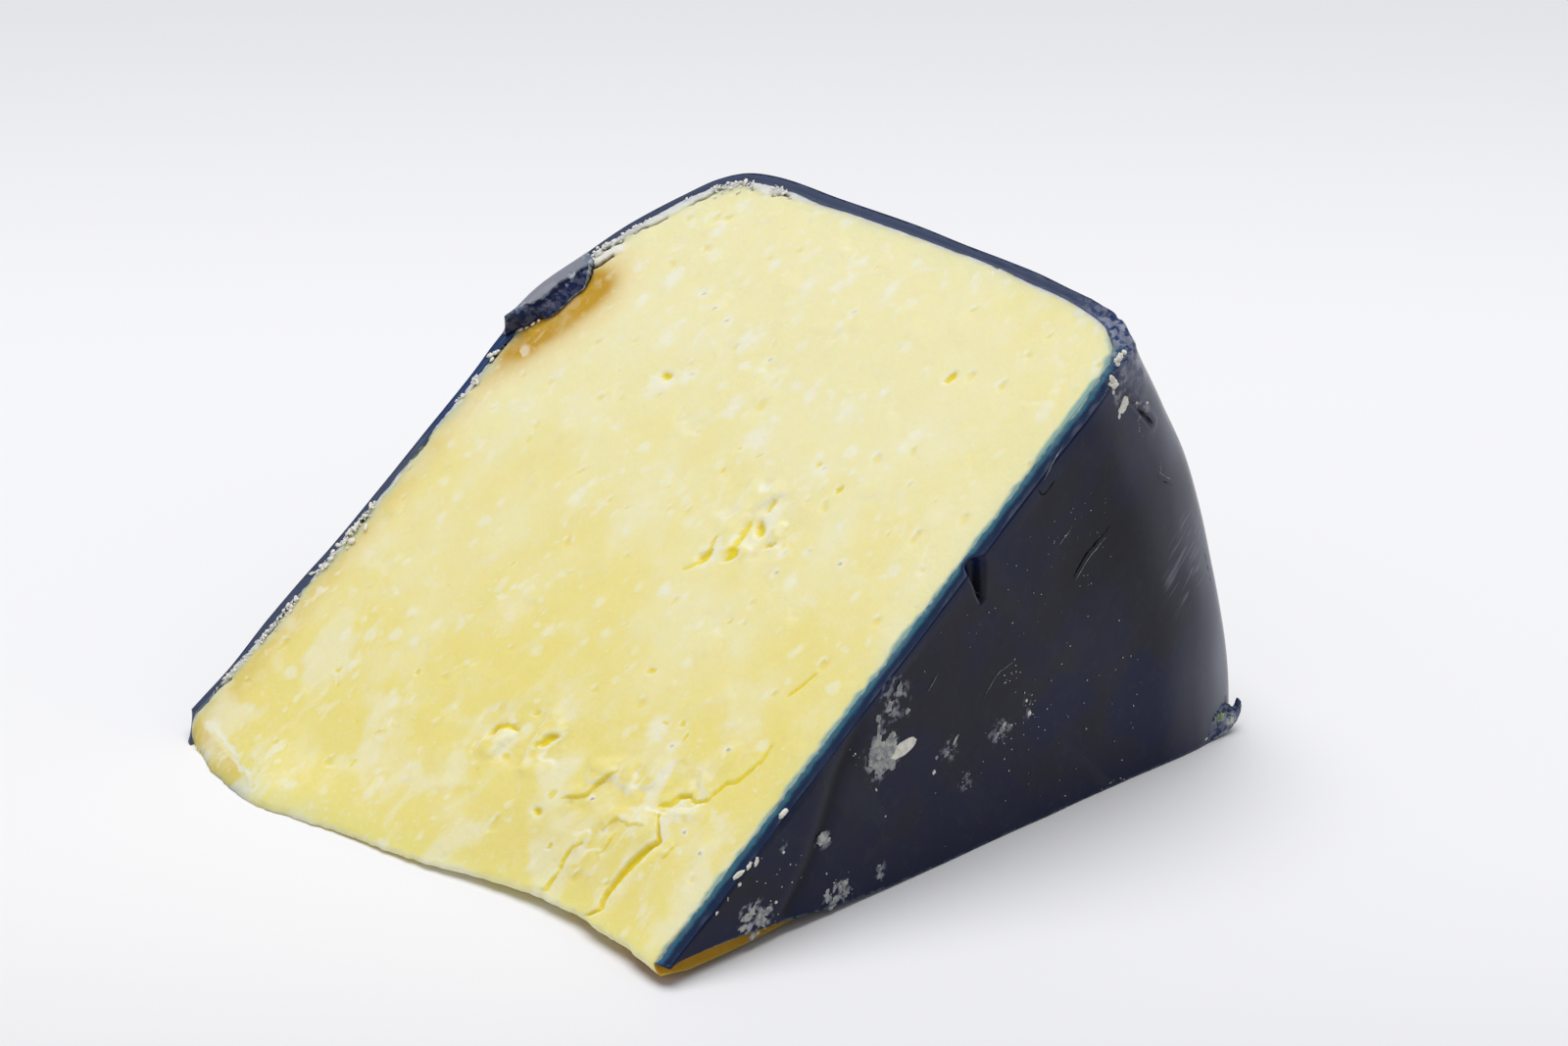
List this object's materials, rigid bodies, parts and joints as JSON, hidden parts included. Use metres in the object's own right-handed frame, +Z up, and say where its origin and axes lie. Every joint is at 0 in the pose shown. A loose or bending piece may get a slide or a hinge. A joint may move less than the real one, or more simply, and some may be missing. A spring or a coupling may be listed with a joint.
{
  "type": "cheese wedge",
  "caption": "Wedge of firm pale yellow cheese cut from a wheel, in a dark blue wax coat on its flat sides and rim.",
  "frame": {"origin": "bottom centre of the wedge's bounding box, on the table under the lower cut", "axes": "+X along the tip edge, from the wheel face with the sloping shoulder to the plain wheel face; +Y from the tip to the rim; +Z up"},
  "size_m": [0.0852, 0.0994, 0.0566],
  "materials": {
    "cheese": "moist, slightly granular cut curd",
    "navy_wax": "satin dark blue wax"
  },
  "bodies": {
    "root": {"cheese": "cheese", "wax_coat": "navy_wax"}
  },
  "joints": []
}
